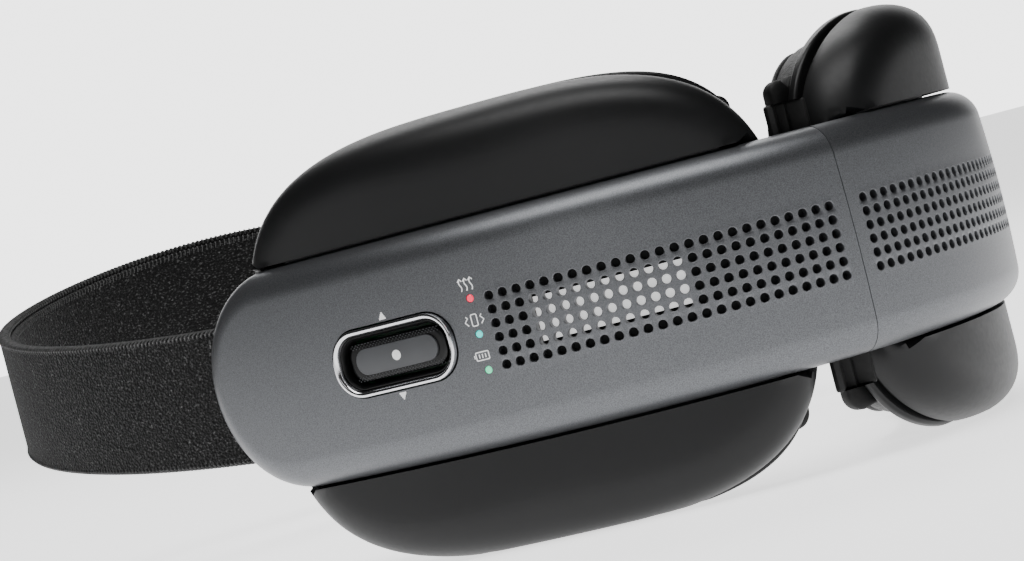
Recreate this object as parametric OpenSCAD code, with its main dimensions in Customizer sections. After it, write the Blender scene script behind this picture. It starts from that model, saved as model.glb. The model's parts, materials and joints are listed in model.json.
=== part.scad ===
// Foldable eye massager mask: two curved halves joined by a fold hinge over the nose,
// padded eye cups behind a metallic front band, and an elastic head strap.
// Working frame: x = 0 is the centre seam, y = 0 the front skin at the seam,
// z = 0 the middle height of the grille. At the end all of it is moved so that the
// origin is on the table, at the centre of the footprint.

/* [Front band] */
// Height of the metallic front band
band_h = 41.3; // [38:0.1:44]
// Length of each half of the band, along its front skin
band_len = 139; // [134:1:140]
// Wall thickness of the band covers
cover_t = 1.8; // [1.4:0.1:2.2]
// Depth of the band's side walls
band_depth = 9; // [8:0.5:9]
// Rounding between the band's face and its side walls
edge_r = 6; // [4:0.5:7]
// How far the face bulges at mid height
crown = 0.8; // [0.4:0.1:1.2]

/* [Plan curve] */
// Angle of the skin beside the centre seam, in degrees
seam_angle = 4; // [2:0.5:6]
// Angle of the skin at the temple end, in degrees
temple_angle = 74; // [70:1:76]
// Length over which the skin turns; beyond it the skin runs straight
curve_len = 133; // [130:1:134]
// How early along its length the band turns
turn_power = 1.6; // [1.5:0.05:1.7]

/* [Eye pods] */
// Height of a pod
pod_h = 80; // [76:1:84]
// Length of a pod along the band
pod_len = 124; // [122:1:126]
// Squareness of the pod's outline, 2 is an ellipse
pod_square = 3.2; // [2.8:0.1:3.6]
// Depth of the pod shell's rim behind the front skin
rim_depth = 15; // [15:0.5:16]
// Wall thickness of the pod shell
pod_t = 1.7; // [1.4:0.1:2]
// Thickness of the face cushion
cushion_t = 15; // [12:0.5:16]

/* [Fold hinge] */
// Depth of the hinge axis behind the front skin
hinge_depth = 4.3; // [4.2:0.1:4.6]
// Radius of the hinge pin
pin_r = 1.25; // [1:0.05:1.4]
// How far the halves fold towards each other, in degrees
fold_max = 20; // [10:1:20]
// Width of the seam between the two covers
seam_gap = 0.3; // [0.3:0.05:0.5]

/* [Button] */
// Distance of the button's centre from the seam, along the skin
button_s = 88.7; // [86:0.1:91]
// Width of the button's chrome ring
button_w = 26.4; // [24:0.1:28]
// Height of the button's chrome ring
button_h = 12.3; // [12:0.1:14]
// How far the button presses in
press_travel = 0.5; // [0.3:0.1:0.5]

/* [Strap] */
// Width of the elastic strap
strap_w = 26; // [20:1:26]
// Thickness of the elastic strap
strap_t = 2.2; // [1.5:0.1:2.4]
// Length from a temple anchor to the back of the head
strap_half = 235; // [225:1:245]
// How far the strap rises towards the back
strap_rise = 20.8; // [0:0.1:24]

/* [Hidden] */
$fn = 48;

foot_trim = 0.8;              // flat cut along the underside of the pods, on which the mask stands
eye_line = pod_h / 2 - foot_trim;  // height of the grille's middle above the table
relief = fold_max / 2 + 1;    // half angle of the wedge left open behind the hinge
end_s = band_len - band_h / 2;  // where the band's round end starts
pod_mid = 6 + pod_len / 2;    // middle of a pod, along the skin
frame_t = 2.2;                // thickness of the cushion frame
gasket_t = 1.2;               // thickness of the rim gasket
frame_d = rim_depth + gasket_t;
cushion_d = frame_d + frame_t;
motor_s = 23;                 // place of the vibration motors along the skin
motor_d = 6.1;                // depth of the motor's axis
motor_r = 2.9;
motor_z = [-9, 3];            // ends of the motor can
weight_z = [4, 8];            // ends of the eccentric weight
anchor_s = 116;               // place of the strap anchors along the skin
anchor_d = 6.2;               // depth of the anchor bar's axis
bar_r = 1.5;
loop_r = 2.55;                // outer radius of the strap's loop round the bar
heat_d = frame_d - 2.9;       // depth of the heating film
slider_i = 10;                // strap station at the slider
slider_h = strap_w + 6;
button_z = -0.1;              // height of the button's centre
rocker_d = 1.5;               // depth of the rocker's face
lamp_s = 70.6;                // place of the signal lamps along the skin
lamp_z = [-6.5, 0, 6.5];      // heights of the signal lamps
port_s = 100;                 // place of the charging socket along the skin
port_d = 5.6;                 // depth of the charging socket

// ---- plan curve of the front skin, for the right half ----
step = 1;
steps = 160;

// angle of the skin at distance s from the seam
function turn(s) =
    let (t = min(max(s, 0), curve_len) / curve_len)
    seam_angle + (temple_angle - seam_angle) * (1 - pow(1 - t, turn_power));

PATH = [
    for (i = 0, x = 0, y = 0; i <= steps;
         x = x + step * cos(turn((i + 0.5) * step)),
         y = y + step * sin(turn((i + 0.5) * step)),
         i = i + 1)
    [x, y]
];

// point of the skin at distance s from the seam
function skin(s) =
    let (q = min(max(s / step, 0), steps - 1), i = floor(q))
    PATH[i] + (PATH[i + 1] - PATH[i]) * (q - i);

// direction of depth; it runs straight back at the seam itself
function lean(s) = let (t = min(max(s / 10, 0), 1)) turn(s) * t * t * (3 - 2 * t);

// point at distance s along the skin, height z and depth d, clear of the fold's wedge
function place(s, z, d) =
    let (p = skin(s), a = lean(s), y = p[1] + d * cos(a))
    [max(p[0] - d * sin(a), seam_gap / 2 + max(0, y - hinge_depth) * tan(relief)), y, z];

function place_all(points) = [for (p = points) place(p[0], p[1], p[2])];

// superellipse in (s, z): half axes a and b, squareness n, about (cs, cz)
function oval(t, a, b, n, cs, cz) =
    [cs + a * sign(cos(t)) * pow(abs(cos(t)), 2 / n),
     cz + b * sign(sin(t)) * pow(abs(sin(t)), 2 / n)];

// ---- path of the strap, from the right temple to the back of the head ----
strap_n = 60;
strap_heading = 72.8;    // direction in which the strap leaves the temple
strap_bend = 1.707;      // how late along its length the strap turns back
strap_z0 = -1.5;         // height at which the strap leaves the temple
strap_step = strap_half / strap_n;
strap_root = place(anchor_s, 0, anchor_d);
function heading(i) = strap_heading + (180 - strap_heading) * pow(i / strap_n, strap_bend);
STRAP_RAW = [
    for (i = 0, x = 0, y = 0; i <= strap_n;
         x = x + cos(heading(i + 0.5)), y = y + sin(heading(i + 0.5)), i = i + 1)
    [x, y]
];
strap_fit = -strap_root[0] / STRAP_RAW[strap_n][0];  // makes the two halves meet at x = 0
function strap_point(i) =
    let (q = min(floor(i), strap_n - 1), raw = STRAP_RAW[q] + (STRAP_RAW[q + 1] - STRAP_RAW[q]) * (i - q))
    [strap_root[0] + strap_fit * raw[0], strap_root[1] + strap_step * raw[1]];
// it rises along the sides and runs level across the back
function strap_z(i) = strap_z0 + strap_rise * (1.2 * pow(i / strap_n, 1.5) - 0.2 * pow(i / strap_n, 9));

// ---- meshes ----
// solid ring: rings[i] is the closed section at place i of a closed loop
module ring_mesh(rings) {
    n = len(rings);
    m = len(rings[0]);
    points = [for (r = rings) for (p = r) p];
    faces = [for (i = [0:n - 1]) for (j = [0:m - 1])
        let (a = i * m + j, b = i * m + (j + 1) % m,
             c = ((i + 1) % n) * m + (j + 1) % m, d = ((i + 1) % n) * m + j)
        each [[a, b, c], [a, c, d]]];
    polyhedron(points, faces, convexity = 6);
}

// solid sweep: sections[i] is the closed section at place i, ends capped
module sweep_mesh(sections) {
    n = len(sections);
    m = len(sections[0]);
    points = [for (r = sections) for (p = r) p];
    sides = [for (i = [0:n - 2]) for (j = [0:m - 1])
        let (a = i * m + j, b = i * m + (j + 1) % m, c = (i + 1) * m + (j + 1) % m, d = (i + 1) * m + j)
        each [[a, b, c], [a, c, d]]];
    first = [for (j = [0:m - 1]) m - 1 - j];
    last = [for (j = [0:m - 1]) (n - 1) * m + j];
    polyhedron(points, concat([first], sides, [last]), convexity = 6);
}

// ring around a pod: profile is a closed list of [inset, depth]
module pod_ring(profile, sides = 56, n = pod_square, extra = 0)
    ring_mesh([for (i = [0:sides - 1]) [for (q = profile)
        let (p = oval(-360 * i / sides, pod_len / 2 + extra - q[0], pod_h / 2 - q[0], n,
                      pod_mid + extra, 0))
        place(p[0], max(p[1], -eye_line), q[1])]]);

// curved plate under the skin from s0 to s1, between depths d0 and d1
module skin_plate(s0, s1, z0, z1, d0, d1, count = 12)
    sweep_mesh([for (i = [0:count])
        let (s = s0 + (s1 - s0) * i / count)
        place_all([[s, z0, d0], [s, z0, d1], [s, z1, d1], [s, z1, d0]])]);

// The band is a sheet with a round end. Its rings run from the seam along the top,
// round the end and back along the bottom; ring 0 is the middle line.
straight = 20;   // places along a straight side
around = 14;     // places around the end
function band_point(i, rho, d) =
    i <= straight ? place(end_s * i / straight, rho, d) :
    i >= straight + around ? place(end_s * (2 * straight + around - i) / straight, -rho, d) :
    let (t = 90 - 180 * (i - straight) / around)
    place(end_s + rho * cos(t), rho * sin(t), d);

// profiles are lists of [radius from the middle line, depth], with the same length
module band_sheet(outer, inner) {
    last = 2 * straight + around;
    k = len(outer) - 1;
    half = straight + 1;
    side = half + k * (last + 1);
    function index(o, r, i) =
        o * side + (r == 0 ? min(i, last - i, straight) : half + (r - 1) * (last + 1) + i);
    points = [for (w = [outer, inner])
        each concat([for (i = [0:straight]) band_point(i, 0, w[0][1])],
                    [for (r = [1:k]) for (i = [0:last]) band_point(i, w[r][0], w[r][1])])];
    function quad(a, b, c, d) =
        a == b ? [[a, c, d]] : [[a, b, c], [a, c, d]];
    skin_faces = [for (r = [0:k - 1]) for (i = [0:last - 1]) each
        concat(quad(index(0, r, i), index(0, r, i + 1), index(0, r + 1, i + 1), index(0, r + 1, i)),
               [for (f = quad(index(1, r, i), index(1, r, i + 1), index(1, r + 1, i + 1),
                              index(1, r + 1, i))) [f[2], f[1], f[0]]])];
    rim_faces = [for (i = [0:last - 1]) each
        quad(index(0, k, i), index(0, k, i + 1), index(1, k, i + 1), index(1, k, i))];
    seam_faces = [for (r = [0:k - 1]) each concat(
        quad(index(0, r, 0), index(0, r + 1, 0), index(1, r + 1, 0), index(1, r, 0)),
        quad(index(1, r, last), index(1, r + 1, last), index(0, r + 1, last), index(0, r, last)))];
    polyhedron(points, concat(skin_faces, rim_faces, seam_faces), convexity = 8);
}

// face, rounded edge and side wall of the band, pulled in by t and set back by t
function band_profile(t, wall) =
    let (top = band_h / 2, r = edge_r - t, arc_d = crown * pow(1 - edge_r / top, 2) + edge_r)
    concat([for (f = [0, 0.35, 0.55]) [f * top, t + crown * f * f]],
           [for (a = [0:30:90]) [top - edge_r + r * sin(a), arc_d - r * cos(a)]],
           [[top - t, wall]]);

// ---- places ----
// local frame on the right half: x along the skin, y into the mask, z up
module at(s, z = 0, d = 0)
    let (p = place(s, z, d))
    translate(p) rotate([0, 0, turn(s)]) children();
module left() mirror([1, 0, 0]) children();
front_to_back = strap_point(strap_n)[1] + strap_t / 2;
module stand() translate([0, -front_to_back / 2, eye_line]) children();

module rounded(w, h, r) {
    square([w - 2 * r, h], center = true);
    square([w, h - 2 * r], center = true);
    for (x = [-1, 1], z = [-1, 1]) translate([x * (w / 2 - r), z * (h / 2 - r)]) circle(r);
}
// rounded bar standing along the local depth, from depth d0 to d1
module depth_bar(w, h, r, d0, d1)
    translate([0, d1, 0]) rotate([90, 0, 0]) linear_extrude(d1 - d0) rounded(w, h, r);
module depth_pin(r, d0, d1) translate([0, d0, 0]) rotate([-90, 0, 0]) cylinder(r = r, h = d1 - d0);

// ---- front band ----
cover_color = [0.33, 0.33, 0.35];
module front_cover_shape() {
    band_sheet(band_profile(0, band_depth), band_profile(cover_t, band_depth));
}
// opening in the cover's end for the strap
module strap_notch() at(band_len - 1, 0, 0)
    translate([-9, 4, strap_z0 - strap_w / 2 - 1]) cube([18, 9, strap_w + 2]);
module front_cover_left() color(cover_color) left() difference() {
    front_cover_shape();
    strap_notch();
    at(button_s, button_z) depth_bar(button_w + 0.3, button_h + 0.3, 5.5, -3, 5);
    for (z = lamp_z) at(lamp_s, z) depth_pin(0.85, -3, 5);
}
module front_cover_right() color(cover_color) difference() {
    front_cover_shape();
    strap_notch();
    at(port_s, -band_h / 2, port_d) translate([-4.9, -1.9, -3]) cube([9.8, 3.8, 8]);
}
module grille_mesh() color([0.05, 0.05, 0.05]) skin_plate(3.2, 69, -8.6, 8.6, 2.1, 2.5);
module grille_mesh_left() left() grille_mesh();
module grille_mesh_right() grille_mesh();

// ---- frame of a half ----
screw_places = [[34, 25.5], [34, -25.5], [104, 25.5], [104, -25.5]];
chassis_d = [10, 11.6];
chassis_rings = [1, 0.86, 0.72, 0.57, 0.42];
module chassis() color([0.2, 0.2, 0.22]) difference() {
    ring_mesh([for (i = [0:47]) let (t = -7.5 * i) place_all([
        for (q = concat([for (f = chassis_rings) [f, chassis_d[1]]],
                        [for (k = [len(chassis_rings) - 1:-1:0]) [chassis_rings[k], chassis_d[0]]]))
        let (p = oval(t, q[0] * 55, q[0] * 33, 3, pod_mid, 0)) [p[0], p[1], q[1]]])]);
    for (p = screw_places) at(p[0], p[1]) depth_pin(1.05, 6, 16);
}
module chassis_left() left() chassis();
module chassis_right() chassis();

// A pod's wall turns from its rim, at inset 0, into a face beside the band. The face
// stops at the band's edge, and at the pod's two ends it passes behind the band.
pod_face_d = 4.6;    // depth of the face beside the band
pod_turn = 12;       // inset at which the wall has turned into the face
function pod_depth(q) =
    rim_depth - (rim_depth - pod_face_d) * sqrt(1 - pow(1 - min(q, pod_turn) / pod_turn, 3));
function pod_point(t, inset, d) =
    let (p = oval(t, pod_len / 2, pod_h / 2, pod_square, 0, 0), far = norm(p),
         stop = far * (1 - (band_h / 2 + 0.45) / max(abs(p[1]), 1)),
         q = min(inset, max(stop, 5)), f = 1 - q / far, z = max(p[1] * f, -eye_line))
    place(pod_mid + p[0] * f, z, abs(z) < band_h / 2 + 0.4 ? max(d, band_depth + 0.5) : d);
module pod_shell() color([0.1, 0.1, 0.11]) ring_mesh([for (i = [0:55]) let (t = -360 * i / 56) concat(
    [for (q = [0, 0.3, 1.4, 3.6, 7, pod_turn, 30]) pod_point(t, q, pod_depth(q))],
    [for (q = [30, pod_turn, 7, 3.6, 1.4, 0])
        let (side = pow(1 - min(q, pod_turn) / pod_turn, 1.5))
        pod_point(t, q + pod_t * side, pod_depth(q) + pod_t * (1 - side))])]);
module pod_shell_left() left() pod_shell();
module pod_shell_right() pod_shell();

module rim_gasket() color([0.03, 0.03, 0.03])
    pod_ring([[0.7, rim_depth + 0.02], [0.7, frame_d - 0.06],
              [3.4, frame_d - 0.06], [3.4, rim_depth + 0.02]]);
module rim_gasket_left() left() rim_gasket();
module rim_gasket_right() rim_gasket();

module cushion_frame() color([0.07, 0.07, 0.07])
    pod_ring([[0, frame_d], [0.4, cushion_d], [6, cushion_d], [12, cushion_d], [12, frame_d], [6, frame_d]],
             n = 3.6);
module cushion_frame_left() left() cushion_frame();
module cushion_frame_right() cushion_frame();

// soft ring that rests on the face around the eye
cushion_outer = [53, 37, 72];    // half length, half height and middle of the ring's outside
cushion_inner = [25, 16, 58];    // and of the window for the eye
glue_t = 0.15;                   // between the frame and the cushion
// section of the ring: place from inside 0 to outside 1, height, and roundness of the outline
cushion_section = [
    [1, 0, 0], [0.985, 0.62, 0], [0.9, 0.93, 0], [0.62, 1, 0.2],
    [0.3, 0.9, 0.8], [0.08, 0.5, 1], [0, 0, 1],
    [0.3, 0, 0.8], [0.62, 0, 0.2]
];
module face_cushion() color([0.06, 0.06, 0.06])
    ring_mesh([for (i = [0:47]) let (t = -7.5 * i) place_all([
        for (q = cushion_section)
        let (size = cushion_inner + (cushion_outer - cushion_inner) * q[0],
             p = oval(t, size[0], size[1], 3.4 - 1.2 * q[2], size[2], 0))
        [p[0], p[1], cushion_d + glue_t + (cushion_t - glue_t) * q[1]]])]);
module face_cushion_left() left() face_cushion();
module face_cushion_right() face_cushion();

// heating film that closes the eye window of the frame
module heat_pad() color([0.35, 0.15, 0.08]) difference() {
    skin_plate(28, 112, -25, 25, heat_d, heat_d + 0.4, 16);
    for (s = [46, 70, 94]) at(s, 0, heat_d + 0.2) depth_pin(2.5, -3, 3);
}
module heat_pad_left() left() heat_pad();
module heat_pad_right() heat_pad();

// soft lobes beside the nose, on the inner ends of the frames
lobe_y = 24.8;                   // rear face of the lobes
module nose_lobe() color([0.02, 0.02, 0.02])
    translate([0, lobe_y, 0]) rotate([90, 0, 0]) linear_extrude(3.5) {
        hull() {
            translate([6.8, 27.9]) circle(2.4);
            translate([10.2, 28.2]) circle(2.4);
            translate([4.4, 12]) square([6.2, 2]);
        }
        hull() {
            translate([7.6, -28.4]) circle(3.2);
            translate([9.4, -28]) circle(3.2);
            translate([4.4, -14]) square([6.2, 2]);
        }
        translate([4.4, -13]) square([6.2, 26]);
    }
module nose_lobe_left() left() nose_lobe();
module nose_lobe_right() nose_lobe();

// ---- fold hinge ----
knuckle_r = 1.95;
leaf_t = 1.2;
// flat plate with a finger to each knuckle in the list of [low z, high z], and the knuckles
module hinge_leaf(knuckles, bore) translate([0, hinge_depth, 0]) difference() {
    union() {
        rotate([0, 0, 8]) translate([0, leaf_t / 2 + 0.2, 0]) rotate([90, 0, 0]) linear_extrude(leaf_t) {
            translate([3.4, -15]) square([10, 30]);
            for (k = knuckles) translate([0, k[0] + 0.4]) square([3.5, k[1] - k[0] - 0.8]);
        }
        for (k = knuckles) translate([0, 0, k[0]]) cylinder(r = knuckle_r, h = k[1] - k[0]);
    }
    translate([0, 0, -20]) cylinder(r = bore, h = 40);
}
module hinge_leaf_left() color([0.55, 0.55, 0.57]) left()
    hinge_leaf([[-15, -5.2], [5.2, 15]], pin_r + 0.01);
module hinge_leaf_right() color([0.55, 0.55, 0.57]) hinge_leaf([[-4.9, 4.9]], pin_r + 0.04);
module hinge_pin() color([0.75, 0.75, 0.77]) translate([0, hinge_depth, -15.1]) {
    cylinder(r = pin_r, h = 30.5);
    translate([0, 0, -0.7]) cylinder(r = pin_r + 0.4, h = 0.7);
}
// folded rubber wall that closes the gap between the pods over the nose
module bridge_boot() color([0.02, 0.02, 0.02]) difference() {
    translate([0, 0, -26.5]) linear_extrude(52.5)
        polygon([[-3.4, 10.5], [-1.2, 12.9], [0, 11.8], [1.2, 12.9], [3.4, 10.5], [4.2, 11],
                 [4.2, 12.2], [1.2, 14.8], [0, 13.6], [-1.2, 14.8], [-4.2, 12.2], [-4.2, 11]]);
    translate([0, 12, -26.5]) rotate([0, 45, 0]) cube([2, 12, 2], center = true);
}
// flat cable that carries power from the battery side to the board side
module ribbon_cable() color([0.6, 0.35, 0.1]) translate([0, 0, -3]) linear_extrude(6)
    polygon([[-11, 7.6], [-3, 7.2], [0, 8.6], [3, 7.2], [11, 7.6], [11, 7.9], [3, 7.5], [0, 8.95],
             [-3, 7.5], [-11, 7.9]]);

// ---- vibration motors ----
module on_motor() at(motor_s, 0, motor_d) children();
module motor_can() color([0.7, 0.7, 0.72]) on_motor() difference() {
    translate([0, 0, motor_z[0]]) cylinder(r = motor_r, h = motor_z[1] - motor_z[0]);
    translate([0, 0, motor_z[1] - 2]) cylinder(r = 0.55, h = 3);
}
module motor_can_left() left() motor_can();
module motor_can_right() motor_can();
module motor_clip() color([0.15, 0.15, 0.15]) on_motor() difference() {
    translate([-4, 0.3, -7]) cube([8, 3.4, 8]);
    translate([0, 0, -10]) cylinder(r = motor_r, h = 20);
}
module motor_clip_left() left() motor_clip();
module motor_clip_right() motor_clip();
// half disc on the motor's shaft: its off-centre weight makes the vibration
module motor_weight() color([0.5, 0.5, 0.45]) on_motor() {
    translate([0, 0, motor_z[1] - 1.9]) cylinder(r = 0.5, h = weight_z[1] - motor_z[1] + 2.4);
    intersection() {
        translate([0, 0, weight_z[0]]) cylinder(r = 2.7, h = weight_z[1] - weight_z[0]);
        translate([-3, -3, weight_z[0]]) cube([6, 3, weight_z[1] - weight_z[0]]);
    }
}
module motor_weight_left() left() motor_weight();
module motor_weight_right() motor_weight();

// ---- strap fixings ----
module on_anchor() at(anchor_s, strap_z0, anchor_d) children();
ear_z = [13.2, 14.9];            // ends of the anchor's ears, from its middle
module strap_anchor() color([0.12, 0.12, 0.12]) on_anchor() difference() {
    union() {
        translate([-5, loop_r + 0.07, -ear_z[1]]) cube([10, 0.9, 2 * ear_z[1]]);
        for (z = [ear_z[0], -ear_z[1]]) translate([-2.6, -2, z]) cube([5.2, 4.7, ear_z[1] - ear_z[0]]);
    }
    translate([0, 0, -20]) cylinder(r = bar_r + 0.01, h = 40);
}
module strap_anchor_left() left() strap_anchor();
module strap_anchor_right() strap_anchor();
module strap_bar() color([0.7, 0.7, 0.72]) on_anchor()
    translate([0, 0, -ear_z[1]]) cylinder(r = bar_r, h = 2 * ear_z[1]);
module strap_bar_left() left() strap_bar();
module strap_bar_right() strap_bar();
module strap_loop() color([0.04, 0.04, 0.04]) on_anchor() difference() {
    translate([0, 0, -strap_w / 2]) cylinder(r = loop_r, h = strap_w);
    translate([0, 0, -strap_w]) cylinder(r = bar_r + 0.05, h = 2 * strap_w);
}
module strap_loop_left() left() strap_loop();
module strap_loop_right() strap_loop();

module screws() color([0.6, 0.6, 0.62]) for (p = screw_places) at(p[0], p[1]) {
    depth_pin(1, 7.6, 11.7);
    depth_pin(1.9, 11.7, 12.9);
}
module screws_left() left() screws();
module screws_right() screws();

// ---- rocker button on the left half ----
module on_button() left() at(button_s, button_z) children();
module button_bezel() color([0.8, 0.8, 0.82]) on_button() difference() {
    depth_bar(button_w, button_h, 5.4, -0.4, 2.6);
    depth_bar(button_w - 2.6, button_h - 2.6, 4.1, -1, 3);
}
module button_well() color([0.02, 0.02, 0.02]) on_button() difference() {
    depth_bar(button_w - 2.7, button_h - 2.7, 4.05, 0.3, 3.4);
    depth_bar(button_w - 3.9, button_h - 3.9, 3.45, -1, 4);
}
module rocker_body() color([0.04, 0.04, 0.04]) on_button() {
    depth_bar(button_w - 5.2, button_h - 5.2, 2.8, rocker_d, 3.2);
    for (x = [-8.6, 7]) difference() {
        translate([x, 3.1, -1.5]) cube([1.6, 2.6, 3]);
        translate([x - 1, 4.4, 0]) rotate([0, 90, 0]) cylinder(r = 0.84, h = 4);
    }
}
module rocker_inlay() color([0.45, 0.45, 0.47]) on_button()
    depth_bar(18, 4.8, 2.35, rocker_d - 0.5, rocker_d);
module rocker_pin() color([0.7, 0.7, 0.72]) on_button()
    translate([-10.4, 4.4, 0]) rotate([0, 90, 0]) cylinder(r = 0.8, h = 20.8);
module rocker_carrier() color([0.3, 0.3, 0.3]) on_button() {
    translate([-10.4, 6.2, -3]) cube([20.8, 0.9, 6]);
    for (x = [-10.4, 9]) difference() {
        translate([x, 3.6, -1.5]) cube([1.4, 2.7, 3]);
        translate([x - 1, 4.4, 0]) rotate([0, 90, 0]) cylinder(r = 0.81, h = 4);
    }
}
module tact_switches() color([0.5, 0.5, 0.5]) on_button() {
    for (z = [-5.6, 5.6]) translate([-1.4, 4.4, z - 1.4]) cube([2.8, 3.8, 2.8]);
    translate([-2, 7.7, -2]) cube([4, 0.5, 4]);
}
module main_board() color([0.1, 0.35, 0.2]) on_button() translate([-21, 8.2, -15]) cube([42, 0.9, 30]);
module led_guides() color([0.8, 0.9, 0.85]) left()
    for (z = lamp_z) at(lamp_s, z) depth_pin(0.8, 0.1, 6);
module light_bar() color([0.95, 0.95, 0.95]) left() skin_plate(31, 60, -4, 4, 2.7, 4.2);

// ---- battery side ----
module battery() color([0.25, 0.35, 0.5]) at(76) translate([-19, 4.7, -12]) cube([38, 4.9, 24]);
module usb_port() color([0.7, 0.7, 0.72]) at(port_s, -band_h / 2, port_d) difference() {
    translate([-4.6, -1.6, 0.1]) cube([9.2, 3.2, 7]);
    translate([-4.2, -1.28, -1]) cube([8.4, 2.56, 7.2]);
}

// ---- strap ----
strap_start = (loop_r + 0.1) / strap_step;   // station where the strap meets its loop
module strap() color([0.05, 0.05, 0.05]) {
    stations = concat([strap_start], [for (i = [1:strap_n]) i]);
    right_side = [for (i = stations) strap_section(i, 1)];
    left_side = [for (k = [strap_n - 1:-1:0]) strap_section(stations[k], -1)];
    sweep_mesh(concat(right_side, left_side));
}
function strap_section(i, side) =
    let (p = strap_point(i), a = side > 0 ? heading(i) : 360 - heading(i),
         n = [sin(a), -cos(a)] * strap_t / 2, c = [side * p[0], p[1]], z = strap_z(i))
    [[c[0] + n[0], c[1] + n[1], z - strap_w / 2], [c[0] - n[0], c[1] - n[1], z - strap_w / 2],
     [c[0] - n[0], c[1] - n[1], z + strap_w / 2], [c[0] + n[0], c[1] + n[1], z + strap_w / 2]];

// buckle that slides along the strap to take up its length
module strap_slider() color([0.08, 0.08, 0.08])
    translate(concat(strap_point(slider_i), strap_z(slider_i))) rotate([0, 0, heading(slider_i)])
        difference() {
            depth_bar(9, slider_h, 1.5, -3, 3);
            translate([-10, -strap_t / 2 - 0.6, -strap_w / 2 - 1]) cube([20, strap_t + 1.2, strap_w + 2]);
        }

stand() front_cover_left();
stand() front_cover_right();
stand() grille_mesh_left();
stand() grille_mesh_right();
stand() chassis_left();
stand() chassis_right();
stand() pod_shell_left();
stand() pod_shell_right();
stand() rim_gasket_left();
stand() rim_gasket_right();
stand() cushion_frame_left();
stand() cushion_frame_right();
stand() face_cushion_left();
stand() face_cushion_right();
stand() heat_pad_left();
stand() heat_pad_right();
stand() nose_lobe_left();
stand() nose_lobe_right();
stand() hinge_leaf_left();
stand() hinge_leaf_right();
stand() hinge_pin();
stand() bridge_boot();
stand() ribbon_cable();
stand() motor_can_left();
stand() motor_can_right();
stand() motor_clip_left();
stand() motor_clip_right();
stand() motor_weight_left();
stand() motor_weight_right();
stand() strap_anchor_left();
stand() strap_anchor_right();
stand() strap_bar_left();
stand() strap_bar_right();
stand() strap_loop_left();
stand() strap_loop_right();
stand() screws_left();
stand() screws_right();
stand() button_bezel();
stand() button_well();
stand() rocker_body();
stand() rocker_inlay();
stand() rocker_pin();
stand() rocker_carrier();
stand() tact_switches();
stand() main_board();
stand() led_guides();
stand() light_bar();
stand() battery();
stand() usb_port();
stand() strap();
stand() strap_slider();
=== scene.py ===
"""Looks of the foldable eye massager mask, built around its CAD frame. Lengths named in
millimetres are turned into metres by MM; the working frame is the CAD's own: x = 0 at the
seam, y = 0 on the front skin there, z = 0 at the grille's middle height."""

import json
import math

import bmesh
import bpy
import numpy as np
from mathutils import Matrix, Vector


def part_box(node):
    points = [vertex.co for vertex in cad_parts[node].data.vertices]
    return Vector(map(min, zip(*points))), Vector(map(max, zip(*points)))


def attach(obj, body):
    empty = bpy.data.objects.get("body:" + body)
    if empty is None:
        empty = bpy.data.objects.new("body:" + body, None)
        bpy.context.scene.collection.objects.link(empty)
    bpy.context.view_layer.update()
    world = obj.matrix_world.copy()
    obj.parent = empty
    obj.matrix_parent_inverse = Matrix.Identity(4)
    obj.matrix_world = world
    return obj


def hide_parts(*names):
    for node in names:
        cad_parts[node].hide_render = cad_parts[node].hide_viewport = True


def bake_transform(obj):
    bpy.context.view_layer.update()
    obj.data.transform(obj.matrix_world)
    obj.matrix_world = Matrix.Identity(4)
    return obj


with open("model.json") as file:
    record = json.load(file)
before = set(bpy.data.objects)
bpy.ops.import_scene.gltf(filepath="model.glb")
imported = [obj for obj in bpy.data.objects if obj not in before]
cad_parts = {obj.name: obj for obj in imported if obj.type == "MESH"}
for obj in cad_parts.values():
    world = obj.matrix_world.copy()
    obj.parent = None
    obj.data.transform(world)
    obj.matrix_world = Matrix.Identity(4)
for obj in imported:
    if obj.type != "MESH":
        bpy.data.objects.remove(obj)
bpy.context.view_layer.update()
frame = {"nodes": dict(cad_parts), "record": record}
MM = 0.001

# ---------------------------------------------------------------- sizes, as in the CAD
BAND_H = 41.3
BAND_LEN = 139.0
CURVE_LEN = 133.0
COVER_T = 1.8
BAND_DEPTH = 9.0
EDGE_R = 6.0
CROWN = 0.8
END_S = BAND_LEN - BAND_H / 2
SEAM_GAP = 0.14
HINGE_DEPTH = 4.3
RELIEF = math.radians(11)
POD_H = 80.0
POD_LEN = 124.0
POD_SQUARE = 3.2
POD_MID = 68.0
POD_T = 1.7
RIM_DEPTH = 15.0
FRAME_DEPTH = 16.2
CUSHION_DEPTH = 18.4
CUSHION_T = 15.0
EYE_LINE = 39.2
BUTTON_S = 88.7
BUTTON_Z = -0.1
BUTTON_W = 26.4
BUTTON_H = 12.3
ROCKER_D = 1.5
PORT_S = 100.0
PORT_D = 5.6
LAMP_S = 70.6
LAMP_Z = (6.5, 0.0, -6.5)
STRAP_W = 26.0
STRAP_T = 2.2
STRAP_N = 60
STRAP_HALF = 235.0
STRAP_Z0 = -1.5
STRAP_RISE = 20.8
ANCHOR_S = 116.0
ANCHOR_D = 6.2
LOOP_R = 2.55
PATH_STEPS = 160      # the plan curve is stepped in millimetres
LEAN_IN = 10.0        # distance from the seam over which depth turns square to the skin

# where the working frame sits: the seam's front skin, at the grille's middle height
cover_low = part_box("front_cover_left")[0]
guide_low, guide_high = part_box("led_guides")
SEAM = Vector((0.0, cover_low[1], (guide_low[2] + guide_high[2]) / 2))


# ---------------------------------------------------------------- plan curve
def turn(s):
    """Angle of the front skin at distance s from the seam, in radians."""
    t = min(max(s, 0.0), CURVE_LEN) / CURVE_LEN
    return math.radians(4 + 70 * (1 - (1 - t) ** 1.6))


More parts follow.
